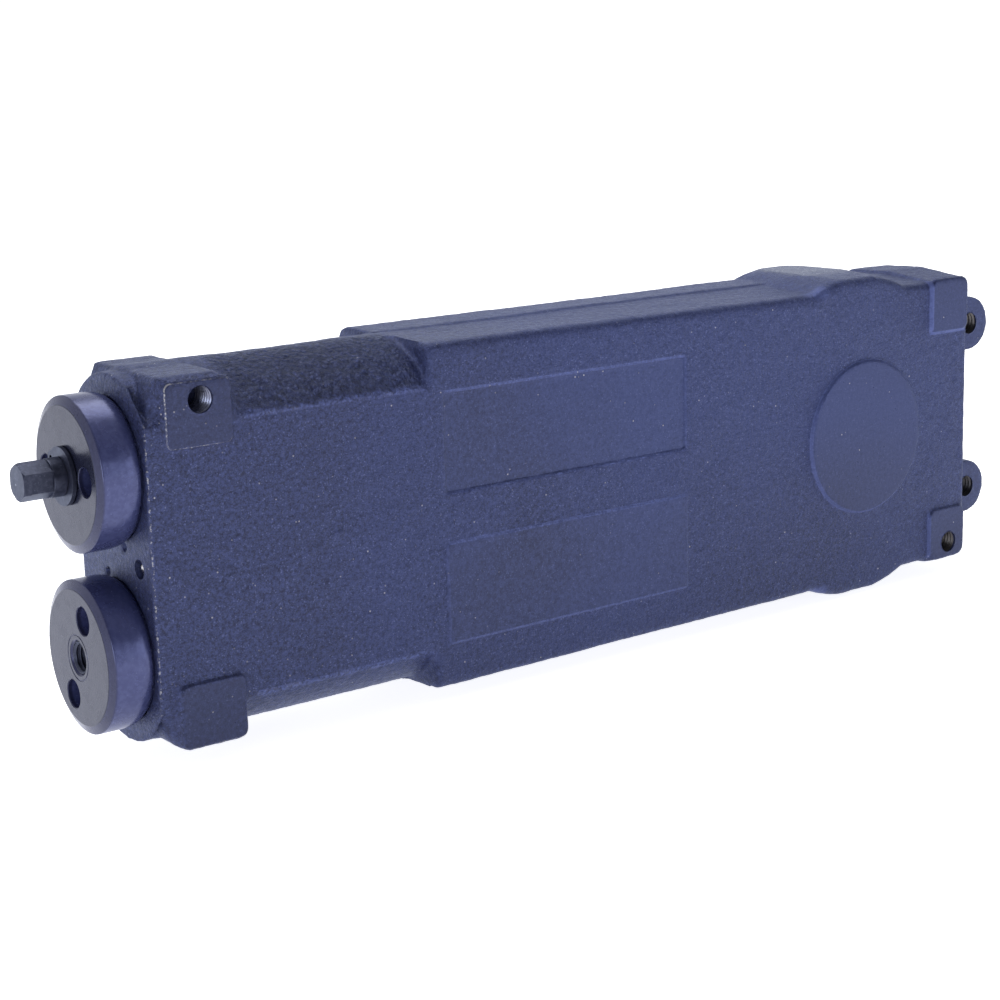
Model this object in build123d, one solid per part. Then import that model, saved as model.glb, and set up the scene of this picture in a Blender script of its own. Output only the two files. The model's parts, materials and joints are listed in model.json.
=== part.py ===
from build123d import *
import os
from math import sin, cos, pi, sqrt, radians, degrees, atan2

# Two-cylinder hydraulic door-closer (floor spring) body, millimetres.
# The body stands on its long edge: +X along the length, +Y from the raised
# bearing disc through the thickness to the side where the spindle comes out,
# +Z across the two cylinders. The origin is on the spindle axis, in the plane
# of the raised disc and the four corner pads.

# ---------------------------------------------------------------- dimensions
X_LEFT = -251.2         # cylinder end face
X_RIGHT = 47.1          # right end of the lugs and pads
X_END = 47.6            # right end wall between them
PAD = 1.0               # how far disc and pads stand proud
Y_FACE = PAD            # as-cast front face
THICK = 41.4            # casting thickness
Y_BACK = Y_FACE + THICK
Y_AX = 21.7             # plane of both cylinder axes
ZC = 23.65              # cylinder axes above and below the middle
R_CYL = 24.4            # outer radius over the cylinders
X_MID = -167.5          # where the rectangular middle part starts
Z_MID = 48.35           # half width of the middle part behind its rounded front edge
Z_PART = 48.7           # half width at the parting line
Y_PART = 24.5           # parting line on the long edges
R_BULGE = 51.4          # boss over the cam chamber, behind its rounded front edge
R_BULGE_P = 52.5        # boss at its widest
BULGE_X = -2.5          # its centre along the length
Z_FLAT = 51.6           # machined flats on the boss
DISC_R = 24.06          # raised disc
EAR_X, EAR_Z, EAR_R = 64.3, 28.4, 9.0
EAR_Y0, EAR_Y1 = 14.0, 30.0
M8_CORE_R = 3.4         # 6.8 mm core hole of an M8 thread

BORE_R = 17.0           # both cylinder bores
CAP_BODY_R = 18.0       # threaded body of the end caps
CAP_R = 20.0            # cap head
CAP_FACE = -263.3       # outer face of the caps
CAP_IN = -238.2         # inner end of the caps
PIN_R, PIN_PCR = 3.75, 11.4   # pin-spanner holes

CH_X0, CH_X1 = -54.0, 41.5    # chamber
CH_Z = 34.0
CH_Y = 7.0                    # chamber floor

GASKET = 0.5
COVER_Y0 = Y_BACK + GASKET
COVER_T = 5.5
COVER_Y1 = COVER_Y0 + COVER_T
BOSS_Y1 = 53.4                # outer end of the cover boss
SCREW_XZ = [(x, z) for x in (-58.0, -25.0, 8.0, 40.0) for z in (-39.5, 39.5)]

SP_R = 8.5              # spindle journals
SP_SEAT_R = 9.0         # cam seat
SP_END = 68.0
BUSH_R = 11.0
RUN = 0.04              # radial running clearance

R0, K = 18.0, 5.0       # cam pitch radius at the notch, rise per radian
ROLL_R = 7.0            # cam follower radius on the pitch curve
ROLL_GAP = 0.15         # follower made smaller by this
CAM_T = 9.0
X_CLOSE, X_DAMP = -R0, R0 + K * pi   # roller axes at rest

PLATE_T = 4.0
PLATE_Y = (12.2, 27.2)        # near sides of the two yoke plates
CROSS_X0, CROSS_X1 = -36.0, -28.0
ROD_R = 5.0
PISTON_R = BORE_R - 0.05
SP_PISTON = (-78.0, -66.0)
SPRING = (-200.0, -78.0)
SEAT_T = 8.0
WIRE_R, COIL_R = 2.2, 13.3

os.makedirs("parts", exist_ok=True)


# ------------------------------------------------------------------- helpers
def box(x0, x1, y0, y1, z0, z1):
    return Pos((x0 + x1) / 2, (y0 + y1) / 2, (z0 + z1) / 2) * Box(x1 - x0, y1 - y0, z1 - z0)


def cyl_x(r, x0, x1, y=Y_AX, z=0.0):
    return Pos((x0 + x1) / 2, y, z) * Rot(0, 90, 0) * Cylinder(r, x1 - x0)


def cyl_y(r, y0, y1, x=0.0, z=0.0):
    return Pos(x, (y0 + y1) / 2, z) * Rot(-90, 0, 0) * Cylinder(r, y1 - y0)


def cyl_z(r, z0, z1, x=0.0, y=0.0):
    return Pos(x, y, (z0 + z1) / 2) * Cylinder(r, z1 - z0)


def cone_y(r0, r1, y0, y1, x=0.0, z=0.0):
    return Pos(x, (y0 + y1) / 2, z) * Rot(-90, 0, 0) * Cone(r0, r1, y1 - y0)


def cone_x(r0, r1, x0, x1, y=Y_AX, z=0.0):
    return Pos((x0 + x1) / 2, y, z) * Rot(0, 90, 0) * Cone(r0, r1, x1 - x0)


def prism_x(pts, x0, x1):
    """Polygon of (y, z) points, extruded from x0 to x1."""
    pl = Plane(origin=(x0, 0, 0), x_dir=(0, 1, 0), z_dir=(1, 0, 0))
    return extrude(pl * make_face(Polyline(*pts, close=True)), x1 - x0)


def prism_y(pts, y0, y1):
    """Polygon of (x, z) points, extruded from y0 to y1."""
    pl = Plane(origin=(0, y1, 0), x_dir=(1, 0, 0), z_dir=(0, -1, 0))
    return extrude(pl * make_face(Polyline(*pts, close=True)), y1 - y0)


def rprism(x0, x1, z0, z1, y0, y1, r):
    """Rounded rectangle in x and z, extruded from y0 to y1."""
    b = box(x0, x1, y0, y1, z0, z1)
    return fillet(b.edges().filter_by(Axis.Y), r)


def pad(x0, x1, z0, z1, y0, y1, r, slope=32.0):
    """Raised pad: smaller at its face y0, spreading towards its foot y1."""
    pl = Plane(origin=((x0 + x1) / 2, y0, (z0 + z1) / 2), x_dir=(1, 0, 0), z_dir=(0, 1, 0))
    return extrude(pl * RectangleRounded(x1 - x0, z1 - z0, r), y1 - y0, taper=-slope)


def ring_x(r_out, r_in, x0, x1, y=Y_AX, z=0.0):
    return cyl_x(r_out, x0, x1, y, z) - cyl_x(r_in, x0 - 1, x1 + 1, y, z)


def ring_y(r_out, r_in, y0, y1, x=0.0, z=0.0):
    return cyl_y(r_out, y0, y1, x, z) - cyl_y(r_in, y0 - 1, y1 + 1, x, z)


def torus_x(R, r, x, y=Y_AX, z=0.0):
    return Pos(x, y, z) * Rot(0, 90, 0) * Torus(R, r)


def torus_y(R, r, y, x=0.0, z=0.0):
    return Pos(x, y, z) * Rot(90, 0, 0) * Torus(R, r)


def hex_x(af, x0, x1, y=Y_AX, z=0.0, turn=0.0):
    """Hexagonal prism along X with a corner up, af across flats."""
    R = af / sqrt(3)
    pts = [(y + R * cos(radians(90 + 60 * i + turn)), z + R * sin(radians(90 + 60 * i + turn)))
           for i in range(6)]
    return prism_x(pts, x0, x1)


def hex_y(af, y0, y1, x=0.0, z=0.0):
    R = af / sqrt(3)
    pts = [(x + R * cos(radians(60 * i)), z + R * sin(radians(60 * i))) for i in range(6)]
    return prism_y(pts, y0, y1)


def save(shape, node):
    shape.label = node
    export_step(shape, f"parts/{node}.step")


# ------------------------------------------------------------------- housing
# Left part: two cylinders side by side, cut flat by the front and back faces.
# Behind the parting plane the mould half is a little larger.
slab = box(-270, 80, Y_FACE, Y_BACK, -60, 60)
left = (cyl_x(R_CYL, X_LEFT, -150, z=ZC) + cyl_x(R_CYL, X_LEFT, -150, z=-ZC)
        + box(X_LEFT, -150, Y_FACE, Y_BACK, -ZC, ZC)) & slab
far_slab = box(-270, 80, Y_PART, Y_BACK, -60, 60)
left += cyl_x(R_CYL + 1.0, -246.0, -150, z=ZC) & far_slab
left += cyl_x(R_CYL + 1.0, -246.0, -150, z=-ZC) & far_slab


def side(points):
    """Closed (y, z) outline from its upper half."""
    return points + [(y, -z) for y, z in reversed(points)]


def rounded(z, r=2.4):
    """Front edge of an outline, rounded by r, ending at height z."""
    return [(Y_FACE, z - r), (Y_FACE + 0.15 * r, z - 0.48 * r), (Y_FACE + 0.45 * r, z - 0.15 * r),
            (Y_FACE + r, z)]


def loft_x(p0, p1, x0, x1):
    """Ruled solid between two (y, z) outlines."""
    f = [Face(Wire.make_polygon([Vector(x, y, z) for y, z in p], close=True))
         for p, x in ((p0, x0), (p1, x1))]
    return Solid.make_loft([f[0].outer_wire(), f[1].outer_wire()], True)


# Middle part: tapers slightly to the right, drafted both ways from the parting line.
STEP = 0.6
near = [side(rounded(z) + [(Y_PART, Z_PART)]) for z in (Z_MID, Z_MID - 1.15)]
middle = Part() + loft_x(near[0], near[1], X_MID, 12.0)
far = side([(Y_PART, Z_PART + STEP), (38.2, Z_PART + 0.6), (40.6, Z_PART - 0.2),
            (41.9, Z_PART - 1.5), (Y_BACK, Z_PART - 3.1)])
middle += prism_x(far, X_MID - 2.4, 12.0)
right = prism_x(side(rounded(46.6) + [(21.0, 47.9), (38.5, 47.4), (Y_BACK, 44.0)]), 5.0, X_END)
right = fillet(right.edges().filter_by(lambda e: abs(e.center().X - X_END) < 0.01
                                       and abs(e.center().Y - Y_FACE) < 0.01), 1.0)

# Boss over the cam chamber, widest near the parting line, with flats.
rb = [(Y_FACE, R_BULGE - 2.4), (Y_FACE + 0.36, R_BULGE - 1.15), (Y_FACE + 1.08, R_BULGE - 0.36),
      (Y_FACE + 2.4, R_BULGE), (20.0, R_BULGE_P), (36.0, R_BULGE_P - 0.2), (41.0, R_BULGE + 0.4),
      (Y_BACK, R_BULGE - 0.9)]
outline = Wire.make_polygon([Vector(BULGE_X, Y_FACE, 0)] + [Vector(BULGE_X + r, y, 0) for y, r in rb]
                            + [Vector(BULGE_X, Y_BACK, 0)], close=True)
bulge = Part() + Solid.revolve(Face(outline), 360.0, Axis((BULGE_X, 0, 0), (0, 1, 0)))
flat = side([(Y_FACE, Z_FLAT - 3.2), (Y_FACE + 0.36, Z_FLAT - 1.95), (Y_FACE + 1.08, Z_FLAT - 1.15),
             (Y_FACE + 2.4, Z_FLAT - 0.8), (20.0, Z_FLAT), (41.0, Z_FLAT), (Y_BACK, Z_FLAT - 1.2)])
bulge = bulge & prism_x(flat, -60.0, X_RIGHT)

# Corner lugs.
lug_up = [(-249.2, 36.0), (-248.4, 43.0), (-246.3, 48.4), (-230.0, 48.4), (-226.8, 42.5),
          (-225.0, 35.0), (-224.6, 30.0), (-249.0, 30.0)]
lug_lo = [(-249.6, -36.0), (-249.4, -41.0), (-248.0, -44.6), (-245.6, -46.9), (-242.4, -47.8),
          (-229.0, -47.8), (-227.4, -46.4), (-227.2, -30.0), (-249.0, -30.0)]
lugs = Part()
for pts in (lug_up, lug_lo):
    lug = prism_y(pts, Y_FACE, 38.0)
    lug = chamfer(lug.edges().filter_by(lambda e: abs(e.center().Y - Y_FACE) < 0.01
                                        and abs(e.center().Z) > 45.0), 1.3)
    lugs += lug
for s in (1, -1):
    rp = [(Y_FACE, s * 30.0), (Y_FACE, s * 46.0), (Y_FACE + 1.0, s * 47.0), (20.0, s * 48.9),
          (37.0, s * 48.3), (37.0, s * 30.0)]
    lugs += prism_x(rp, 29.8, X_RIGHT)

# Screw ears on the right end.
ears = Part()
for s in (1, -1):
    ears += box(X_RIGHT - 4, EAR_X, EAR_Y0, EAR_Y1, s * EAR_Z - EAR_R, s * EAR_Z + EAR_R)
    ears += cyl_y(EAR_R, EAR_Y0, EAR_Y1, EAR_X, s * EAR_Z)

# Raised disc, pads and panels on the front face.
front = cone_y(DISC_R, DISC_R + 0.9, 0.0, PAD + 0.4)
front += pad(-245.5, -227.5, 30.6, 46.8, 0.0, PAD + 0.5, 1.6)
front += pad(-245.5, -227.5, -46.6, -30.3, 0.0, PAD + 0.5, 1.6)
front += pad(30.2, 46.7, 30.1, 46.9, 0.0, PAD + 0.5, 2.2)
front += pad(30.8, 46.7, -46.1, -29.8, 0.0, PAD + 0.5, 2.2)
front += pad(-163.1, -76.2, -35.5, -7.3, Y_FACE - 0.4, Y_FACE + 0.3, 1.2)

casting = left + middle + right + bulge + lugs + ears + front
casting -= pad(-163.1, -76.2, 6.6, 34.6, Y_FACE - 0.6, Y_FACE + 0.4, 1.2, slope=-20.0)

# Bores, cap threads, chamber and its stepped floor.
for s in (1, -1):
    casting -= cyl_x(BORE_R, X_LEFT - 1, CH_X0 + 1, z=s * ZC)
    casting -= cyl_x(CAP_BODY_R + 0.05, X_LEFT - 1, CAP_IN + 0.7, z=s * ZC)
casting -= rprism(CH_X0, CH_X1, -CH_Z, CH_Z, CH_Y, Y_BACK + 1, 6.0)
casting += ring_y(14.5, BUSH_R, CH_Y - 0.5, 10.4)
casting -= cyl_y(BUSH_R, 3.0, 11.0)

# Oil gallery in the web, valve bores from the back, ports to the lower bore.
GAL_Y = 8.4
casting -= cyl_x(1.6, X_LEFT - 1, CH_X0 + 1, y=GAL_Y, z=0)
casting -= cyl_x(2.5, X_LEFT - 1, X_LEFT + 6.0, y=GAL_Y, z=0)
VALVE_X = (-80.0, -115.0)
for vx in VALVE_X:
    casting -= cyl_y(3.5, 22.0, Y_BACK - 5.0, x=vx)
    casting -= cyl_y(4.55, Y_BACK - 5.1, Y_BACK + 1, x=vx)
    casting -= cyl_y(1.5, GAL_Y, 23.0, x=vx)
    casting -= cyl_z(1.2, -9.0, 0.0, x=vx, y=24.6)

# Tapped holes: two for the mounting screws in the front pads, two through the ears,
# eight for the cover screws.
HOLES = [(-236.0, 42.1, 9.5), (39.5, -41.3, 16.0)]
for hx, hz, depth in HOLES:
    casting -= cyl_y(M8_CORE_R, -1.0, depth, x=hx, z=hz)
    casting -= cone_y(M8_CORE_R + 0.45, M8_CORE_R, -0.01, 0.45, x=hx, z=hz)
for s in (1, -1):
    casting -= cyl_y(M8_CORE_R, EAR_Y0 - 1, EAR_Y1 + 1, x=EAR_X, z=s * EAR_Z)
    casting -= cone_y(M8_CORE_R + 0.6, M8_CORE_R, EAR_Y0 - 0.01, EAR_Y0 + 0.6, x=EAR_X, z=s * EAR_Z)
for hx, hz in SCREW_XZ:
    casting -= cyl_y(2.03, Y_BACK - 8.5, Y_BACK + 1, x=hx, z=hz)

# Staking dimples beside the caps.
for dy, dz in ((16.5, 4.2), (27.0, -4.2)):
    casting -= cone_x(1.5, 0.4, X_LEFT - 0.01, X_LEFT + 0.9, y=dy, z=dz)
housing = casting
save(housing, "housing")

# ------------------------------------------------------------ cover and seals
cover = rprism(-63.0, 45.5, -44.3, 44.3, COVER_Y0, COVER_Y1, 7.0)
cover += cyl_y(19.0, 34.2, COVER_Y1)
cover += cyl_y(20.0, COVER_Y1 - 1, BOSS_Y1)
cover = chamfer(cover.edges().filter_by(lambda e: abs(e.center().Y - BOSS_Y1) < 0.01), 1.0)
cover -= cyl_y(BUSH_R, 33.0, 45.0)
cover -= cyl_y(SP_R + 0.6, 44.0, 47.0)
cover -= cyl_y(14.0, 46.2, BOSS_Y1 + 1)
for hx, hz in SCREW_XZ:
    cover -= cyl_y(2.2, COVER_Y0 - 1, COVER_Y1 + 1, x=hx, z=hz)
    cover -= cone_y(2.2, 4.3, COVER_Y1 - 2.1, COVER_Y1 + 0.01, x=hx, z=hz)
save(cover, "chamber_cover")

gasket = rprism(-63.0, 45.5, -44.3, 44.3, Y_BACK, COVER_Y0, 7.0) \
    - rprism(CH_X0, CH_X1, -CH_Z, CH_Z, Y_BACK - 1, COVER_Y0 + 1, 6.0)
for hx, hz in SCREW_XZ:
    gasket -= cyl_y(2.2, Y_BACK - 1, COVER_Y0 + 1, x=hx, z=hz)
save(gasket, "cover_gasket")

screws = []
for hx, hz in SCREW_XZ:
    sc = cyl_y(2.0, Y_BACK - 8.0, COVER_Y1 - 1.0, x=hx, z=hz) \
        + cone_y(2.0, 4.15, COVER_Y1 - 2.25, COVER_Y1 - 0.1, x=hx, z=hz)
    sc -= hex_y(2.5, COVER_Y1 - 1.6, COVER_Y1 + 1, x=hx, z=hz)
    screws.append(sc)
save(Compound(children=screws), "cover_screws")

lower_bush = ring_y(BUSH_R - 0.01, SP_R + RUN, 3.2, 10.4)
save(lower_bush, "lower_bush")
upper_bush = ring_y(BUSH_R - 0.01, SP_R + RUN, 34.4, 44.9)
save(upper_bush, "upper_bush")
seal = ring_y(13.98, SP_R + 0.05, 46.4, 52.6) - ring_y(12.6, 10.0, 49.4, 53.0)
save(seal, "shaft_seal")

# ----------------------------------------------------------------- cam, spindle
spindle = cyl_y(SP_R, 3.6, SP_END) + cyl_y(SP_SEAT_R, 11.0, 33.2)
square = box(-6.6, 6.6, BOSS_Y1 + 1.2, SP_END + 1, -6.6, 6.6)
spindle = (spindle & box(-20, 20, 0, BOSS_Y1 + 1.2, -20, 20)) + (spindle & square)
spindle = chamfer(spindle.edges().filter_by(lambda e: abs(e.center().Y - SP_END) < 0.01), 0.8)
spindle -= cyl_y(M8_CORE_R, SP_END - 14.0, SP_END + 1)
spindle -= box(2.9, 20, 16.9, 26.5, -2.5, 2.5) & box(6.0, 20, 16.9, 26.5, -2.5, 2.5)
save(spindle, "spindle")


def cam_half(n=40):
    """Offset of the pitch curve r = R0 + K*phi by the follower radius, phi from -X."""
    def q(phi):
        r = R0 + K * phi
        c, s = cos(phi), sin(phi)
        tx, tz = -K * c + r * s, K * s + r * c
        t = sqrt(tx * tx + tz * tz)
        nx, nz = -tz / t, tx / t
        return (-r * c - ROLL_R * nx, r * s - ROLL_R * nz)
    lo, hi = pi - 0.3, pi
    for _ in range(60):
        m = (lo + hi) / 2
        if q(m)[1] > 0:
            lo = m
        else:
            hi = m
    return [q(lo * i / n) for i in range(n)] + [(q(lo)[0], 0.0)]


half = cam_half()
upper = [(x, z) for x, z in half]
lower = [(x, -z) for x, z in reversed(half)]
cam_pl = Plane(origin=(0, Y_AX + CAM_T / 2, 0), x_dir=(1, 0, 0), z_dir=(0, -1, 0))
s1 = Spline(*upper)
s2 = Spline(*lower)
notch = ThreePointArc(lower[-1], (-(R0 - ROLL_R), 0.0), upper[0])
cam = extrude(cam_pl * make_face(Curve() + [s1, s2, notch]), CAM_T)
cam -= cyl_y(SP_SEAT_R + 0.01, 10, 40)
cam -= box(0, 11.4, 10, 40, -2.5, 2.5)
save(cam, "drive_cam")
key = box(6.05, 11.35, 17.3, 26.1, -2.48, 2.48)
save(key, "cam_key")

# ----------------------------------------------------------------- carriage
def yoke(y0):
    p = rprism(-38.0, 40.6, -15.0, 15.0, y0, y0 + PLATE_T, 6.0)
    p -= rprism(-10.0, 22.5, -9.8, 9.8, y0 - 1, y0 + PLATE_T + 1, 9.7)
    for px in (X_CLOSE, X_DAMP):
        p -= cyl_y(3.0, y0 - 1, y0 + PLATE_T + 1, x=px)
    for pz in (-9.0, 9.0):
        p -= cyl_y(2.05, y0 - 1, y0 + PLATE_T + 1, x=-32.0, z=pz)
    return p


save(yoke(PLATE_Y[0]), "yoke_plate_front")
save(yoke(PLATE_Y[1]), "yoke_plate_rear")
cross = rprism(CROSS_X0, CROSS_X1, -31.5, 31.5, 16.25, 27.15, 1.5)
for s in (1, -1):
    cross -= cyl_x(4.0, CROSS_X0 - 1, CROSS_X1 + 1, z=s * ZC)
    cross -= cyl_y(2.05, 15, 29, x=-32.0, z=s * 9.0)
save(cross, "crosshead")
rivets = []
for s in (1, -1):
    rv = cyl_y(2.0, 11.6, 31.8, x=-32.0, z=s * 9.0)
    rv += cyl_y(3.4, 11.0, 12.15, x=-32.0, z=s * 9.0) + cyl_y(3.4, 31.25, 32.4, x=-32.0, z=s * 9.0)
    rivets.append(rv)
save(Compound(children=rivets), "crosshead_rivets")


def roller(px):
    r = ring_y(ROLL_R - ROLL_GAP, 3.05, 16.6, 26.8, x=px)
    return chamfer(r.edges().filter_by(lambda e: e.length > 30), 0.5)


def roller_pin(px):
    p = cyl_y(2.98, 11.4, 32.0, x=px)
    return chamfer(p.edges().filter_by(GeomType.CIRCLE), 0.4)


save(roller(X_CLOSE), "closing_roller")
save(roller(X_DAMP), "damping_roller")
save(roller_pin(X_CLOSE), "closing_roller_pin")
save(roller_pin(X_DAMP), "damping_roller_pin")

# Spring side: rod, piston, spring, seat nut and adjusting screw.
push_rod = cyl_x(ROD_R, SP_PISTON[1] + 0.05, CROSS_X0 - 0.05, z=ZC) \
    + cyl_x(3.98, SP_PISTON[0] + 2.5, CROSS_X1, z=ZC)
save(push_rod, "push_rod")
piston = cyl_x(PISTON_R, *SP_PISTON, z=ZC) + cyl_x(10.6, SP_PISTON[0] - 5.0, SP_PISTON[0] + 1, z=ZC)
piston -= cyl_x(4.0, SP_PISTON[0] + 2.0, SP_PISTON[1] + 1, z=ZC)
for a in (45, 135, 225, 315):
    piston -= cyl_x(1.5, SP_PISTON[0] - 6, SP_PISTON[1] + 1,
                    y=Y_AX + 13.5 * cos(radians(a)), z=ZC + 13.5 * sin(radians(a)))
save(piston, "spring_piston")

free = SPRING[1] - SPRING[0]
turns = 11
helix_h = free - 2 * WIRE_R - 0.4
hx = Helix(pitch=helix_h / turns, height=helix_h, radius=COIL_R)
prof = Plane(origin=hx @ 0, z_dir=hx % 0) * Circle(WIRE_R)
coil = sweep(prof, path=hx, is_frenet=True)
spring = Pos(SPRING[0] + WIRE_R + 0.2, Y_AX, ZC) * Rot(0, 90, 0) * coil
save(spring, "closing_spring")

seat = cyl_x(PISTON_R - 0.2, SPRING[0] - SEAT_T, SPRING[0], z=ZC) \
    + cyl_x(10.6, SPRING[0] - 1, SPRING[0] + 5.0, z=ZC)
seat -= cyl_x(6.06, SPRING[0] - SEAT_T - 1, SPRING[0] + 6, z=ZC)
save(seat, "spring_seat_nut")

HEX_AF = 8.65
screw = cyl_x(6.0, -237.0, -180.0, z=ZC)
screw = chamfer(screw.edges().filter_by(lambda e: abs(e.center().X + 180.0) < 0.01), 1.0)
screw += cyl_x(10.0, -239.8, -237.0, z=ZC)
screw += cyl_x(5.0, -268.4, -239.0, z=ZC)
screw += hex_x(HEX_AF, -276.0, -267.6, z=ZC) & (cone_x(4.55, 6.0, -276.0, -274.6, z=ZC) + cyl_x(5.2, -274.7, -267.0, z=ZC))
screw -= ring_x(6.0, 4.4, CAP_FACE - 1.55, CAP_FACE - 0.15, z=ZC)
save(screw, "adjusting_screw")

washer = ring_x(10.0, 5.05, -240.95, -239.85, z=ZC)
save(washer, "thrust_washer")


def end_cap():
    c = cyl_x(CAP_R, CAP_FACE, X_LEFT - 0.05) + cyl_x(CAP_BODY_R, X_LEFT - 1, CAP_IN)
    c = chamfer(c.edges().filter_by(lambda e: abs(e.center().X - CAP_FACE) < 0.01), 1.15, 2.3)
    c -= ring_x(19.0, 15.2, -244.2, -241.0)
    return c


def to_axis(s):
    return Pos(0, 0, s * ZC)


cap = end_cap()
cap -= cyl_x(5.06, -270, -230)
cap -= cyl_x(10.2, -241.0, CAP_IN + 1)
cap -= cyl_x(7.3, -249.6, -247.2)
for s in (1, -1):
    cap -= cyl_x(PIN_R, CAP_FACE - 1, CAP_FACE + 6.0, y=Y_AX + s * PIN_PCR)
save(to_axis(1) * cap, "spring_cap")
save(torus_x(16.6, 1.36, -242.6, z=ZC), "spring_cap_oring")
save(torus_x(6.15, 1.02, -248.4, z=ZC), "adjuster_oring")

# External circlip outside the cap, its gap towards +Y.
clip = ring_x(7.5, 4.5, CAP_FACE - 1.4, CAP_FACE - 0.3, z=ZC)
for a in (38, -38):
    clip += cyl_x(1.9, CAP_FACE - 1.4, CAP_FACE - 0.3,
                  y=Y_AX + 6.3 * cos(radians(a)), z=ZC + 6.3 * sin(radians(a)))
clip -= cyl_x(4.5, CAP_FACE - 2, CAP_FACE, z=ZC)
clip -= prism_x([(Y_AX, ZC), (Y_AX + 12 * cos(radians(24)), ZC + 12 * sin(radians(24))),
                 (Y_AX + 12 * cos(radians(24)), ZC - 12 * sin(radians(24)))], CAP_FACE - 2, CAP_FACE)
for a in (38, -38):
    clip -= cyl_x(0.8, CAP_FACE - 2, CAP_FACE,
                  y=Y_AX + 6.3 * cos(radians(a)), z=ZC + 6.3 * sin(radians(a)))
save(clip, "adjuster_circlip")

# Damper side: cap, bleed screw, rod, piston, ring and check valve.
dcap = end_cap()
dcap -= cyl_x(M8_CORE_R, -270, -250.0)
dcap -= cyl_x(2.52, -251, -230)
dcap -= cone_x(4.2, M8_CORE_R, CAP_FACE - 0.01, CAP_FACE + 0.8)
dcap -= ring_x(6.1, 5.8, CAP_FACE - 1, CAP_FACE + 0.2)
pa = atan2(10.6, -4.3)
for s in (1, -1):
    dcap -= cyl_x(PIN_R, CAP_FACE - 1, CAP_FACE + 6.0,
                  y=Y_AX + s * PIN_PCR * cos(pa), z=s * PIN_PCR * sin(pa))
save(to_axis(-1) * dcap, "damper_cap")
save(torus_x(16.6, 1.36, -242.6, z=-ZC), "damper_cap_oring")
bleed = cyl_x(2.5, -249.0, -239.0, z=-ZC)
bleed -= hex_x(2.5, -250.0, -246.5, z=-ZC)
save(bleed, "bleed_screw")

D_PISTON = (-98.0, -78.0)
damper_rod = cyl_x(ROD_R, D_PISTON[1] + 0.05, CROSS_X0 - 0.05, z=-ZC) \
    + cyl_x(3.98, D_PISTON[1] - 9.5, CROSS_X1, z=-ZC)
save(damper_rod, "damper_rod")
dpis = cyl_x(PISTON_R, *D_PISTON, z=-ZC)
dpis -= cyl_x(4.0, D_PISTON[1] - 10.0, D_PISTON[1] + 1, z=-ZC)
dpis -= ring_x(18.0, 14.6, -91.0, -86.0, z=-ZC)
CV_Z = -ZC - 9.5
dpis -= cyl_x(1.6, D_PISTON[0] - 1, D_PISTON[1] + 1, z=CV_Z)
dpis -= cyl_x(3.3, D_PISTON[0] - 1, -86.0, z=CV_Z)
dpis -= cone_x(3.3, 1.6, -86.01, -84.3, z=CV_Z)
save(dpis, "damper_piston")
save(ring_x(PISTON_R + 0.02, 14.7, -90.9, -86.1, z=-ZC), "piston_ring")
BALL_R = 2.5
ball_x = -86.75
save(Pos(ball_x - 0.05, Y_AX, CV_Z) * Sphere(BALL_R), "check_ball")
retainer = ring_x(3.28, 1.3, D_PISTON[0], D_PISTON[0] + 2.0, z=CV_Z)
save(retainer, "check_retainer")
CS = (D_PISTON[0] + 2.1, ball_x - BALL_R - 0.1)
ch = CS[1] - CS[0] - 0.7
h2 = Helix(pitch=ch / 4, height=ch, radius=1.9)
p2 = Plane(origin=h2 @ 0, z_dir=h2 % 0) * Circle(0.3)
cspr = Pos(CS[0] + 0.35, Y_AX, CV_Z) * Rot(0, 90, 0) * sweep(p2, path=h2, is_frenet=True)
save(cspr, "check_spring")

# Gallery plug and the two regulating valves.
save(Pos(X_LEFT + 3.2, GAL_Y, 0) * Sphere(2.49), "gallery_ball_plug")
for i, vx in enumerate(VALVE_X, 1):
    v = cyl_y(3.45, 28.6, Y_BACK - 3.55, x=vx) + cyl_y(4.45, Y_BACK - 3.4, Y_BACK - 1.2, x=vx)
    v += cyl_y(3.45, Y_BACK - 4.0, Y_BACK - 3.0, x=vx)
    v += cyl_y(2.2, 24.5, 29.0, x=vx) + cone_y(0.5, 2.2, 22.6, 24.6, x=vx)
    v -= ring_y(4.0, 2.2, 31.0, 33.4, x=vx)
    v -= box(vx - 3.4, vx + 3.4, Y_BACK - 2.4, Y_BACK, -0.6, 0.6)
    save(v, ("latching_valve", "closing_valve")[i - 1])
    save(torus_y(2.85, 0.6, 32.2, x=vx), ("latching_valve_oring", "closing_valve_oring")[i - 1])

if __name__ == "__main__":
    for name, s in (("housing", housing), ("spindle", spindle), ("closing_spring", spring)):
        b = s.bounding_box()
        print(name, [round(t, 1) for t in (*b.min, *b.max)], round(s.volume))
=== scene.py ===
import bpy, bmesh, json, math
import numpy as np
from mathutils import Vector, Matrix, Euler


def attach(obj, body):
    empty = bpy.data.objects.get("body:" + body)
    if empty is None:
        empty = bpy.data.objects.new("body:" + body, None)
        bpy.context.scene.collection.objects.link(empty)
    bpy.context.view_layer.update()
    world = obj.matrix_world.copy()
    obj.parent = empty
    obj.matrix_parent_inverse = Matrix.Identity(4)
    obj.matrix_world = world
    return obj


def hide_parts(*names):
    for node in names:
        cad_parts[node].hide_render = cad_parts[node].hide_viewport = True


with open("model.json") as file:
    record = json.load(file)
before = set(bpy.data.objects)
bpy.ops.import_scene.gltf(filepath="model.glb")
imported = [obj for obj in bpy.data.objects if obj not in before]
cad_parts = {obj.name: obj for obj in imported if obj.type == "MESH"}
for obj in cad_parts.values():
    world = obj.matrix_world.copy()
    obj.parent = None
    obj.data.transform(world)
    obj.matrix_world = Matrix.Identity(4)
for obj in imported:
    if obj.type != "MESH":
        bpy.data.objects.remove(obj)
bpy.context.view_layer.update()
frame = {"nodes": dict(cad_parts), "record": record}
M = 0.001
BODY = "closer_body"
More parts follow.
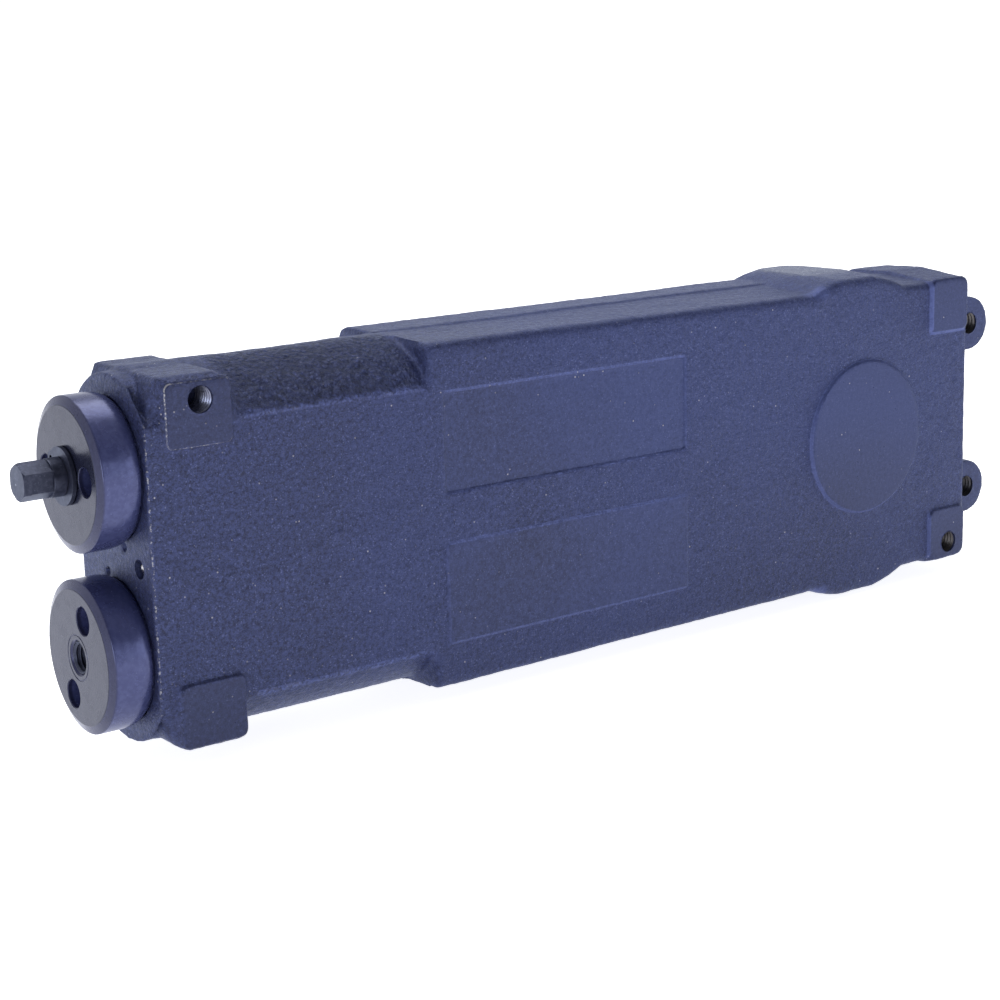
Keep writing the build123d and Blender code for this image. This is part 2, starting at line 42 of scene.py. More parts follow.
scene = bpy.context.scene
COL = scene.collection

# dimensions repeated from the model, millimetres
X_LEFT = -251.2
Y_AX, ZC = 21.7, 23.65
CAP_FACE = -263.3
EAR = (64.3, 14.0, 28.4)
FLOOR_Z = -51.6


# ---------------------------------------------------------------------------
# small tools
# ---------------------------------------------------------------------------
def hash01(ix, iy, iz, seed):
    n = (ix * 374761393 + iy * 668265263 + iz * 1274126177 + seed * 974634777) & 0xFFFFFFFF
    n = ((n ^ (n >> 13)) * 1274126177) & 0xFFFFFFFF
    n = ((n ^ (n >> 15)) * 2246822519) & 0xFFFFFFFF
    return ((n ^ (n >> 16)) & 0xFFFFFF) / float(0xFFFFFF)


def vnoise(P, size, seed=0):
    """Smooth value noise, -1..1, for points in mm and a cell size in mm."""
    q = P / size + 31.7 * (seed + 1)
    i = np.floor(q).astype(np.int64)
    f = q - i
    u = f * f * f * (f * (f * 6 - 15) + 10)
    out = np.zeros(len(P))
    for dx in (0, 1):
        wx = u[:, 0] if dx else 1 - u[:, 0]
        for dy in (0, 1):
            wy = u[:, 1] if dy else 1 - u[:, 1]
            for dz in (0, 1):
                wz = u[:, 2] if dz else 1 - u[:, 2]
                out += wx * wy * wz * hash01(i[:, 0] + dx, i[:, 1] + dy, i[:, 2] + dz, seed)
    return out * 2 - 1


def cells(P, size, seed=0):
    """Distance to the nearest jittered cell point, in cell units: granules."""
    q = P / size
    i = np.floor(q).astype(np.int64)
    best = np.full(len(P), 9.0)
    for dx in (-1, 0, 1):
        for dy in (-1, 0, 1):
            for dz in (-1, 0, 1):
                c = i + np.array([dx, dy, dz])
                jx = hash01(c[:, 0], c[:, 1], c[:, 2], seed)
                jy = hash01(c[:, 0], c[:, 1], c[:, 2], seed + 7)
                jz = hash01(c[:, 0], c[:, 1], c[:, 2], seed + 13)
                d = (c[:, 0] + jx - q[:, 0]) ** 2 + (c[:, 1] + jy - q[:, 1]) ** 2 + (c[:, 2] + jz - q[:, 2]) ** 2
                best = np.minimum(best, d)
    return np.sqrt(best)


def smooth01(a, b, x):
    t = np.clip((x - a) / (b - a), 0, 1)
    return t * t * (3 - 2 * t)


def get_co(me):
    co = np.empty(len(me.vertices) * 3)
    me.vertices.foreach_get("co", co)
    return co.reshape(-1, 3)


def set_co(me, co):
    me.vertices.foreach_set("co", np.ascontiguousarray(co, dtype=np.float64).ravel())
    me.update()


def get_no(me):
    n = np.empty(len(me.vertices) * 3)
    me.vertices.foreach_get("normal", n)
    return n.reshape(-1, 3)


def set_attr(me, name, values):
    a = me.attributes.new(name, "FLOAT", "POINT")
    a.data.foreach_set("value", np.ascontiguousarray(values, dtype=np.float32))


def link(name, me):
    ob = bpy.data.objects.new(name, me)
    COL.objects.link(ob)
    return ob


def evaluated(ob):
    dg = bpy.context.evaluated_depsgraph_get()
    dg.update()
    return bpy.data.meshes.new_from_object(ob.evaluated_get(dg))


def apply_mods(ob):
    me = evaluated(ob)
    ob.modifiers.clear()
    old = ob.data
    ob.data = me
    if old.users == 0:
        bpy.data.meshes.remove(old)
    return ob


def shade(ob, angle=None):
    me = ob.data
    me.polygons.foreach_set("use_smooth", [True] * len(me.polygons))
    if angle is not None:
        bm = bmesh.new()
        bm.from_mesh(me)
        lim = math.radians(angle)
        for e in bm.edges:
            if len(e.link_faces) == 2:
                e.smooth = e.calc_face_angle(0.0) < lim
        bm.to_mesh(me)
        bm.free()
    me.update()


def crisp(ob):
    """Keep flat faces flat next to rounded edges."""
    m = ob.modifiers.new("wn", "WEIGHTED_NORMAL")
    m.mode, m.weight, m.keep_sharp = "FACE_AREA", 80, True
    return apply_mods(ob)


def lathe_mesh(name, prof, axis="X", center=(0, 0, 0), seg=128):
    """Closed solid of revolution. prof is a list of (along, radius) in mm, from axis to axis."""
    bm = bmesh.new()
    rings = []
    for a, r in prof:
        if r < 1e-6:
            rings.append([bm.verts.new(pt(axis, a, 0, 0, center))])
        else:
            rings.append([bm.verts.new(pt(axis, a, r * math.cos(2 * math.pi * k / seg),
                                          r * math.sin(2 * math.pi * k / seg), center))
                          for k in range(seg)])
    for A, B in zip(rings[:-1], rings[1:]):
        for k in range(seg):
            k2 = (k + 1) % seg
            if len(A) == 1 and len(B) == 1:
                continue
            if len(A) == 1:
                bm.faces.new((A[0], B[k], B[k2]))
            elif len(B) == 1:
                bm.faces.new((A[k], B[0], A[k2]))
            else:
                bm.faces.new((A[k], B[k], B[k2], A[k2]))
    if len(rings[0]) > 1:
        A, B = rings[-1], rings[0]
        for k in range(seg):
            k2 = (k + 1) % seg
            bm.faces.new((A[k], B[k], B[k2], A[k2]))
    bmesh.ops.recalc_face_normals(bm, faces=bm.faces)
    me = bpy.data.meshes.new(name)
    bm.to_mesh(me)
    bm.free()
    return me


def pt(axis, a, u, v, c):
    if axis == "X":
        p = (a, u, v)
    elif axis == "Y":
        p = (v, a, u)
    else:
        p = (u, v, a)
    return ((p[0] + c[0]) * M, (p[1] + c[1]) * M, (p[2] + c[2]) * M)


def cyl(name, r, a0, a1, axis="X", center=(0, 0, 0), seg=96, r1=None):
    r1 = r if r1 is None else r1
    return lathe_mesh(name, [(a0, 0), (a0, r), (a1, r1), (a1, 0)], axis, center, seg)


def box_mesh(name, x0, x1, y0, y1, z0, z1):
    bm = bmesh.new()
    bmesh.ops.create_cube(bm, size=1.0)
    bmesh.ops.scale(bm, vec=((x1 - x0) * M, (y1 - y0) * M, (z1 - z0) * M), verts=bm.verts)
    bmesh.ops.translate(bm, vec=((x0 + x1) / 2 * M, (y0 + y1) / 2 * M, (z0 + z1) / 2 * M), verts=bm.verts)
    me = bpy.data.meshes.new(name)
    bm.to_mesh(me)
    bm.free()
    return me


def boolean(ob, meshes, op="DIFFERENCE", solver="MANIFOLD"):
    tmp = []
    for i, me in enumerate(meshes):
        t = link(f"cut_{i}", me)
        tmp.append(t)
        m = ob.modifiers.new(f"b{i}", "BOOLEAN")
        m.operation, m.solver, m.object = op, solver, t
    apply_mods(ob)
    for t in tmp:
        me = t.data
        bpy.data.objects.remove(t)
        bpy.data.meshes.remove(me)
    return ob


def cad_mesh(node, name):
    """A welded copy of a CAD node's mesh."""
    src = frame["nodes"][node]
    bm = bmesh.new()
    bm.from_mesh(src.data)
    bm.transform(src.matrix_world)
    bmesh.ops.remove_doubles(bm, verts=bm.verts, dist=1e-6)
    me = bpy.data.meshes.new(name)
    bm.to_mesh(me)
    bm.free()
    for a in list(me.attributes):
        if a.name not in ("position",) and not a.name.startswith("."):
            try:
                me.attributes.remove(a)
            except RuntimeError:
                pass
    return me


def adopt(ob, node, mat, body=BODY):
    ob.data.materials.clear()
    ob.data.materials.append(mat)
    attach(ob, body)
    if node:
        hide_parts(*((node,) if isinstance(node, str) else node))
    return ob


# ---------------------------------------------------------------------------
# materials
# ---------------------------------------------------------------------------
class Nodes:
    def __init__(self, name):
        self.mat = bpy.data.materials.new(name)
        self.mat.use_nodes = True
        self.t = self.mat.node_tree
        self.t.nodes.clear()
        self.out = self.t.nodes.new("ShaderNodeOutputMaterial")
        self.bsdf = self.t.nodes.new("ShaderNodeBsdfPrincipled")
        self.t.links.new(self.bsdf.outputs[0], self.out.inputs[0])
        self.coord = self.t.nodes.new("ShaderNodeTexCoord").outputs["Object"]

    def n(self, kind, **kw):
        nd = self.t.nodes.new(kind)
        for k, v in kw.items():
            setattr(nd, k, v)
        return nd

    def link(self, a, b):
        self.t.links.new(a, b)
        return b

    def noise(self, scale, detail=4.0, rough=0.55, vec=None, distort=0.0):
        nd = self.n("ShaderNodeTexNoise")
        nd.inputs["Scale"].default_value = scale
        nd.inputs["Detail"].default_value = detail
        nd.inputs["Roughness"].default_value = rough
        nd.inputs["Distortion"].default_value = distort
        self.link(vec or self.coord, nd.inputs["Vector"])
        return nd.outputs["Fac"]

    def voronoi(self, scale, feature="F1", vec=None, rand=1.0):
        nd = self.n("ShaderNodeTexVoronoi")
        nd.feature = feature
        nd.inputs["Scale"].default_value = scale
        nd.inputs["Randomness"].default_value = rand
        self.link(vec or self.coord, nd.inputs["Vector"])
        return nd

    def ramp(self, fac, stops, interp="LINEAR"):
        nd = self.n("ShaderNodeValToRGB")
        nd.color_ramp.interpolation = interp
        els = nd.color_ramp.elements
        while len(els) > 1:
            els.remove(els[0])
        els[0].position, els[0].color = stops[0][0], self.rgba(stops[0][1])
        for p, c in stops[1:]:
            e = els.new(p)
            e.color = self.rgba(c)
        self.link(fac, nd.inputs[0])
        return nd.outputs[0]

    @staticmethod
    def rgba(c):
        if isinstance(c, (int, float)):
            return (c, c, c, 1)
        return (*c, 1) if len(c) == 3 else c

    def mix(self, fac, a, b, blend="MIX"):
        nd = self.n("ShaderNodeMix", data_type="RGBA", blend_type=blend)
        for sock, val in ((nd.inputs[0], fac), (nd.inputs[6], a), (nd.inputs[7], b)):
            if isinstance(val, (int, float)):
                sock.default_value = val if sock is nd.inputs[0] else self.rgba(val)
            elif isinstance(val, tuple):
                sock.default_value = self.rgba(val)
            else:
                self.link(val, sock)
        return nd.outputs[2]

    def math(self, op, a, b=0.0, clamp=False):
        nd = self.n("ShaderNodeMath", operation=op, use_clamp=clamp)
        for sock, val in ((nd.inputs[0], a), (nd.inputs[1], b)):
            if isinstance(val, (int, float)):
                sock.default_value = val
            else:
                self.link(val, sock)
        return nd.outputs[0]

    def mrange(self, v, a, b, c, d, clamp=True):
        nd = self.n("ShaderNodeMapRange", clamp=clamp)
        self.link(v, nd.inputs[0])
        for i, x in enumerate((a, b, c, d), 1):
            nd.inputs[i].default_value = x
        return nd.outputs[0]

    def attr(self, name):
        nd = self.n("ShaderNodeAttribute", attribute_name=name)
        return nd.outputs["Fac"]

    def bump(self, height, dist, strength=1.0, normal=None):
        nd = self.n("ShaderNodeBump")
        nd.inputs["Strength"].default_value = strength
        nd.inputs["Distance"].default_value = dist
        self.link(height, nd.inputs["Height"])
        if normal is not None:
            self.link(normal, nd.inputs["Normal"])
        return nd.outputs[0]

    def set(self, **kw):
        for k, v in kw.items():
            s = self.bsdf.inputs[k.replace("_", " ")]
            if isinstance(v, (int, float)):
                s.default_value = v
            elif isinstance(v, tuple):
                s.default_value = self.rgba(v) if s.type == "RGBA" else v
            else:
                self.link(v, s)
        return self


def outline(k, xyz, cx, cz, hx, hz, r, width, ymax=0.7):
    """Thin line along a rounded rectangle on the front face; sizes in mm."""
    X, Y, Z = xyz
    qx = k.math("SUBTRACT", k.math("ABSOLUTE", k.math("SUBTRACT", X, cx * M)), (hx - r) * M)
    qz = k.math("SUBTRACT", k.math("ABSOLUTE", k.math("SUBTRACT", Z, cz * M)), (hz - r) * M)
    px, pz = k.math("MAXIMUM", qx, 0.0), k.math("MAXIMUM", qz, 0.0)
    out = k.math("SQRT", k.math("ADD", k.math("MULTIPLY", px, px), k.math("MULTIPLY", pz, pz)))
    d = k.math("SUBTRACT", k.math("ADD", out, k.math("MINIMUM", k.math("MAXIMUM", qx, qz), 0.0)), r * M)
    m = k.mrange(k.math("ABSOLUTE", d), width * 0.5 * M, width * M, 1, 0)
    return k.math("MULTIPLY", m, k.mrange(Y, (ymax - 0.15) * M, ymax * M, 1, 0))


def cast_paint(name, base, deep, pale, grain=1.0):
    """Metallic hammer enamel over a sand casting."""
    k = Nodes(name)
    sep = k.n("ShaderNodeSeparateXYZ")
    k.link(k.coord, sep.inputs[0])
    xyz = X, Y, Z = sep.outputs
    smoothz = k.attr("smooth_zone")          # 1 on pads, disc, panels and flats
    wear = k.attr("wear")                    # 1 on rubbed edges
    coarse = k.attr("coarse")                # 1 on the granular flanks
    big = k.noise(9, 2, 0.5)
    mid = k.noise(900, 3, 0.7)
    fine = k.noise(2600, 2, 0.6)
    patch = k.math("ADD", big, k.mrange(X, -0.20, -0.10, 0.14, -0.06))
    patch = k.math("ADD", patch, k.mrange(X, 0.01, 0.05, 0, 0.10))
    col = k.mix(k.mrange(patch, 0.38, 0.62, 0, 0.85), base, deep)
    speckle = k.mrange(k.math("ADD", mid, k.math("MULTIPLY", fine, 0.6)), 0.62, 1.0, 0, 1)
    col = k.mix(k.math("MULTIPLY", speckle, k.math("SUBTRACT", 0.85, k.math("MULTIPLY", smoothz, 0.45))), col, pale)
    dark = k.mrange(k.noise(1300, 3, 0.7), 0.30, 0.46, 1, 0)
    col = k.mix(k.math("MULTIPLY", dark, k.math("SUBTRACT", 0.55, k.math("MULTIPLY", smoothz, 0.3))), col, deep)
    # aluminium flake in the enamel: tiny lighter points
    fl = k.voronoi(1250)
    flake = k.mrange(fl.outputs["Distance"], 0.10, 0.34, 1, 0)
    pick = k.math("GREATER_THAN", k.noise(760, 0, 0.5), 0.54)
    flake = k.math("MULTIPLY", flake, pick)
    col = k.mix(k.math("MULTIPLY", flake, k.math("SUBTRACT", 0.34, k.math("MULTIPLY", smoothz, 0.2))), col,
                (0.20, 0.24, 0.50))
    # bright specks of grit, thicker towards the caps
    sp = k.voronoi(420)
    speck = k.mrange(sp.outputs["Distance"], 0.06, 0.13, 1, 0)
    rare = k.math("GREATER_THAN", k.math("ADD", k.noise(210, 0, 0.5), k.mrange(X, -0.25, -0.13, 0.14, 0)), 0.645)
    speck = k.math("MULTIPLY", speck, rare)
    lit = k.mrange(k.noise(170, 0, 0.5), 0.40, 0.62, 0.18, 0.85)
    col = k.mix(k.math("MULTIPLY", speck, lit), col, (0.46, 0.45, 0.50))
    # painted highlight along the slopes at the borders of disc, pads, panel and crown, partly thin enamel on these
    # edges
    def near(v, c, half):
        return k.mrange(k.math("ABSOLUTE", k.math("SUBTRACT", v, c * M)), half * M, half * 1.8 * M, 1, 0)

    def within(v, a, b):
        return k.math("MULTIPLY", k.mrange(v, (a - 0.4) * M, (a + 0.4) * M, 0, 1),
                      k.mrange(v, (b - 0.4) * M, (b + 0.4) * M, 1, 0))

    def times(*f):
        out = f[0]
        for g in f[1:]:
            out = k.math("MULTIPLY", out, g)
        return out

    aZ = k.math("ABSOLUTE", Z)
    rad = k.math("SQRT", k.math("ADD", k.math("MULTIPLY", X, X), k.math("MULTIPLY", Z, Z)))
    front = k.mrange(Y, 0.0024, 0.0034, 1, 0)
    ring = times(near(rad, 24.45, 0.32), 0.65)
    urpad = k.math("MAXIMUM", times(near(X, 29.9, 0.45), within(Z, 29.8, 46.5)),
                   times(near(Z, 29.8, 0.38), within(X, 29.8, 46.5)))
    lrpad = times(near(X, 30.4, 0.35), within(Z, -45.5, -30.2), 0.7)
    grit = k.mrange(k.noise(1100, 2, 0.7), 0.40, 0.62, 0, 1)
    paneltop = 0.0
    for z0, z1 in ((6.6, 34.6), (-35.5, -7.3)):
        along = times(k.math("MAXIMUM", near(Z, z0, 0.26), near(Z, z1 + 0.1, 0.32)), within(X, -162.6, -76.4))
        across = times(k.math("MAXIMUM", near(X, -163.1, 0.26), near(X, -76.2, 0.22)), within(Z, z0, z1), 0.4)
        edge_ = k.math("MAXIMUM", along, across)
        paneltop = edge_ if paneltop == 0.0 else k.math("MAXIMUM", paneltop, edge_)
    paneltop = times(paneltop, k.math("ADD", k.math("MULTIPLY", grit, 0.6), 0.35))
    crownline = times(near(aZ, 36.6, 0.55), within(X, -223.5, -168.5), grit)
    shoulder = times(near(X, -21.0, 3.0), k.mrange(aZ, 0.0455, 0.0470, 0, 1), k.mrange(Y, 0.004, 0.0055, 1, 0), 0.8)
    rim_highlight_and_enamel = k.math("MAXIMUM", k.math("MAXIMUM", ring, urpad), k.math("MAXIMUM", lrpad, paneltop))
    rim_highlight_and_enamel = times(k.math("MAXIMUM", rim_highlight_and_enamel, crownline), front)
    rim_highlight_and_enamel = k.math("MAXIMUM", rim_highlight_and_enamel, shoulder)
    # mix these borders towards light blue: painted highlight, partly thin enamel
    col = k.mix(k.math("MULTIPLY", rim_highlight_and_enamel, 0.52), col, (0.115, 0.145, 0.370))
    # granular skin over the cylinders: painted shade in the pits between the grains and painted highlights on the
    # grains
    gr = k.voronoi(760)
    pit_shade = k.mrange(gr.outputs["Distance"], 0.42, 0.72, 0, 1)
    col = k.mix(times(coarse, pit_shade, 0.42), col, (0.006, 0.006, 0.012))
    grain_highlight = k.mrange(gr.outputs["Distance"], 0.10, 0.34, 1, 0)
    # light blue on the grain tops: painted highlight
    col = k.mix(times(coarse, grain_highlight, k.mrange(k.noise(420, 2, 0.6), 0.44, 0.62, 0, 0.55)), col, (0.090, 0.110, 0.290))
    # rubbed edges show pale metal
    dots = k.mrange(k.noise(1500, 2, 0.6), 0.50, 0.60, 0, 1)
    faint = k.math("ADD", k.math("MULTIPLY", dots, 0.7), 0.10)
    ul = outline(k, xyz, -236.5, 38.7, 9.05, 8.15, 1.7, 0.20)
    crescent = k.math("MULTIPLY", k.mrange(X, -0.2438, -0.2432, 1, 0), k.mrange(Z, 0.0448, 0.0453, 0, 1))
    left = k.mrange(X, -0.2452, -0.2446, 1, 0)
    low = k.math("MULTIPLY", k.mrange(Z, 0.0312, 0.0318, 1, 0), 0.55)
    up = k.math("MULTIPLY", k.mrange(Z, 0.0460, 0.0464, 0, 1), 0.35)
    where = k.math("MAXIMUM", k.math("MAXIMUM", left, low), up)
    w1 = k.math("MULTIPLY", ul, k.math("MAXIMUM", k.math("MULTIPLY", faint, where), k.math("MULTIPLY", crescent, 0.6)))
    ll = outline(k, xyz, -236.5, -38.45, 9.05, 8.2, 1.7, 0.20)
    chip = k.math("MULTIPLY", k.mrange(X, -0.2300, -0.2290, 0, 1), k.mrange(Z, -0.0452, -0.0444, 1, 0))
    foot = k.math("MULTIPLY", k.mrange(Z, -0.0462, -0.0458, 1, 0), k.math("MULTIPLY", faint, 0.5))
    w2 = k.math("MULTIPLY", ll, k.math("MAXIMUM", chip, foot))
    edge = k.math("MULTIPLY", k.mrange(k.math("ABSOLUTE", k.math("ADD", X, 0.25085)), 0.00012, 0.00026, 1, 0),
                  k.mrange(Y, 0.0016, 0.0020, 1, 0))
    edots = k.mrange(k.noise(1200, 2, 0.7), 0.54, 0.64, 0, 0.62)
    w3 = k.math("MULTIPLY", edge, edots)
    wn = k.mrange(k.noise(700, 3, 0.6), 0.44, 0.60, 0, 1)
    w4 = k.math("MULTIPLY", wear, k.math("MULTIPLY", wn, 0.6))
    wfac = k.math("MAXIMUM", k.math("MAXIMUM", w1, w2), k.math("MAXIMUM", w3, w4), clamp=True)
    col = k.mix(wfac, col, (0.46, 0.45, 0.47))
    rough = k.mrange(k.noise(600, 3, 0.6), 0.3, 0.7, 0.34, 0.50)
    rough = k.math("SUBTRACT", rough, k.math("MULTIPLY", smoothz, 0.07))
    rough = k.math("SUBTRACT", rough, k.mrange(aZ, 0.0505, 0.0512, 0, 0.05))
    # height: sand grain, finer and shallower where the surface is smooth
    g1 = k.noise(2100, 3, 0.6)
    g2 = k.noise(820, 4, 0.72)
    h = k.math("ADD", k.math("MULTIPLY", g1, 0.5), g2)
    amp = k.math("SUBTRACT", 1.0, k.math("MULTIPLY", smoothz, 0.74))
    amp = k.math("ADD", amp, k.math("MULTIPLY", coarse, 1.9))
    h = k.math("MULTIPLY", h, amp)
    h = k.math("ADD", h, k.math("MULTIPLY", speck, 0.35))
    h = k.math("ADD", h, times(coarse, k.mrange(gr.outputs["Distance"], 0.0, 0.7, 1, 0), 1.6))
    nrm = k.bump(h, 0.00036 * grain, 1.0)
    k.set(Base_Color=col, Metallic=0.45, Roughness=rough, Normal=nrm)
    k.set(Specular_IOR_Level=0.5, IOR=1.5, Specular_Tint=(0.66, 0.76, 1.0))
    return k.mat


def smooth_paint(name, base, deep, pale, rough0=0.30, metallic=0.35, ring=0.0, axis=(0, 0, 0), peel=1.0, face=None):
    """The same enamel over turned or machined steel, with faint turning rings under it."""
    k = Nodes(name)
    big = k.noise(14, 2, 0.5)
    mid = k.noise(900, 3, 0.6)
    col = k.mix(k.mrange(big, 0.35, 0.65, 0, 0.8), base, deep)
    col = k.mix(k.mrange(mid, 0.42, 0.64, 0, 0.5), col, pale)
    fl = k.voronoi(1600)
    flake = k.mrange(fl.outputs["Distance"], 0.0, 0.26, 1, 0)
    pick = k.math("GREATER_THAN", k.noise(950, 0, 0.5), 0.60)
    flake = k.math("MULTIPLY", flake, pick)
    col = k.mix(k.math("MULTIPLY", flake, 0.30), col, (0.34, 0.38, 0.56))
    sp = k.voronoi(230)
    speck = k.mrange(sp.outputs["Distance"], 0.0, 0.09, 1, 0)
    rare = k.math("GREATER_THAN", k.noise(140, 0, 0.5), 0.70)
    speck = k.math("MULTIPLY", speck, rare)
    col = k.mix(k.math("MULTIPLY", speck, 0.7), col, (0.45, 0.47, 0.56))
    rough = k.mrange(k.noise(260, 3, 0.6), 0.3, 0.7, rough0, rough0 + 0.12)
    h = k.math("ADD", k.math("MULTIPLY", k.noise(900, 2, 0.5), 0.25), k.noise(260, 3, 0.5))
    if face is not None:
        sx = k.n("ShaderNodeSeparateXYZ")
        k.link(k.coord, sx.inputs[0])
        # the end face and the chamfer round it are mixed much darker than the cap's sides: painted shade
        flat = k.mrange(sx.outputs[0], (face + 0.05) * M, (face + 0.30) * M, 1, 0)
        col = k.mix(k.math("MULTIPLY", flat, 0.9), col, (0.010, 0.011, 0.022))
        bev = k.mrange(sx.outputs[0], (face + 0.95) * M, (face + 1.5) * M, 1, 0)
        bev = k.math("MULTIPLY", bev, k.math("SUBTRACT", 1.0, flat))
        col = k.mix(k.math("MULTIPLY", bev, 0.75), col, (0.014, 0.014, 0.036))
    if ring:
        mp = k.n("ShaderNodeMapping")
        mp.inputs["Location"].default_value = (-axis[0] * M, -axis[1] * M, -axis[2] * M)
        k.link(k.coord, mp.inputs["Vector"])
        wv = k.n("ShaderNodeTexWave", wave_type="RINGS", rings_direction="X")
        wv.inputs["Scale"].default_value = 300
        wv.inputs["Distortion"].default_value = 0.6
        k.link(mp.outputs[0], wv.inputs["Vector"])
        h = k.math("ADD", h, k.math("MULTIPLY", wv.outputs["Fac"], ring))
    nrm = k.bump(h, 0.00004 * peel, 0.8)
    k.set(Base_Color=col, Metallic=metallic, Roughness=rough, Normal=nrm)
    k.set(Specular_IOR_Level=0.5, Specular_Tint=(0.80, 0.84, 1.0) if face is not None else (0.72, 0.80, 1.0))
    return k.mat


def metal(name, colour, dark, rough=(0.25, 0.42), scale=300, bump=0.00002, stretch=(1, 1, 1), metallic=1.0):
    k = Nodes(name)
    mp = k.n("ShaderNodeMapping")
    mp.inputs["Scale"].default_value = stretch
    k.link(k.coord, mp.inputs["Vector"])
    a = k.noise(scale, 4, 0.6, vec=mp.outputs[0])
    b = k.noise(45, 3, 0.5)
    col = k.mix(k.mrange(b, 0.35, 0.65, 0, 1), colour, dark)
    r = k.mrange(a, 0.3, 0.7, rough[0], rough[1])
    k.set(Base_Color=col, Metallic=metallic, Roughness=r, Normal=k.bump(a, bump, 0.7))
    return k.mat


def soft(name, colour, dark, rough=(0.55, 0.75), scale=500, bump=0.00003):
    k = Nodes(name)
    a = k.noise(scale, 4, 0.6)
    col = k.mix(k.mrange(a, 0.35, 0.65, 0, 1), colour, dark)
    k.set(Base_Color=col, Metallic=0.0, Roughness=k.mrange(a, 0.3, 0.7, rough[0], rough[1]),
          Normal=k.bump(a, bump, 0.7))
    return k.mat


PAINT = ((0.029, 0.038, 0.112), (0.022, 0.023, 0.048), (0.058, 0.072, 0.190))
m_cast = cast_paint("cast_enamel", *PAINT)
m_cap_up = smooth_paint("cap_enamel_upper", (0.058, 0.067, 0.180), (0.044, 0.050, 0.132), (0.085, 0.098, 0.225),
                        0.19, ring=0.12, axis=(0, Y_AX, ZC), face=CAP_FACE)
m_cap_lo = smooth_paint("cap_enamel_lower", (0.058, 0.067, 0.180), (0.044, 0.050, 0.132), (0.085, 0.098, 0.225),
                        0.19, ring=0.12, axis=(0, Y_AX, -ZC), face=CAP_FACE)
m_cover = smooth_paint("cover_enamel", (0.030, 0.039, 0.120), (0.024, 0.028, 0.075), (0.052, 0.064, 0.170), 0.30)
m_hex = smooth_paint("hex_enamel", (0.034, 0.038, 0.066), (0.022, 0.024, 0.042), (0.062, 0.066, 0.104), 0.32, metallic=0.55)
m_thread = metal("thread_steel", (0.15, 0.14, 0.14), (0.06, 0.06, 0.07), (0.28, 0.45), 500)
# lighter enamel for the upper-left tapped hole: enamel in the hole, with a painted highlight of its lit wall
m_thread_enamel_highlight = smooth_paint("thread_enamel_highlight", (0.20, 0.21, 0.30), (0.12, 0.13, 0.20), (0.28, 0.29, 0.36), 0.22, metallic=0.6)
m_black = metal("black_oxide", (0.035, 0.035, 0.04), (0.02, 0.02, 0.024), (0.35, 0.5), 600, metallic=0.8)
m_ground = metal("ground_steel", (0.52, 0.52, 0.54), (0.42, 0.42, 0.44), (0.18, 0.32), 500, stretch=(1, 8, 1))
m_plate = metal("plate_steel", (0.36, 0.36, 0.38), (0.27, 0.27, 0.29), (0.28, 0.42), 350)
m_spring = metal("spring_steel", (0.15, 0.15, 0.17), (0.09, 0.09, 0.10), (0.35, 0.5), 900)
m_bronze = metal("bronze", (0.55, 0.36, 0.18), (0.42, 0.27, 0.13), (0.3, 0.45), 700)
m_brass = metal("brass", (0.72, 0.52, 0.22), (0.58, 0.41, 0.17), (0.2, 0.34), 400)
m_rubber = soft("rubber", (0.016, 0.016, 0.018), (0.028, 0.028, 0.030))
m_gasket = soft("gasket_paper", (0.24, 0.19, 0.13), (0.17, 0.13, 0.09), (0.75, 0.9), 900)

# ---------------------------------------------------------------------------
# housing: the cast body
# ---------------------------------------------------------------------------
DASH = (-197.4, 1.5)


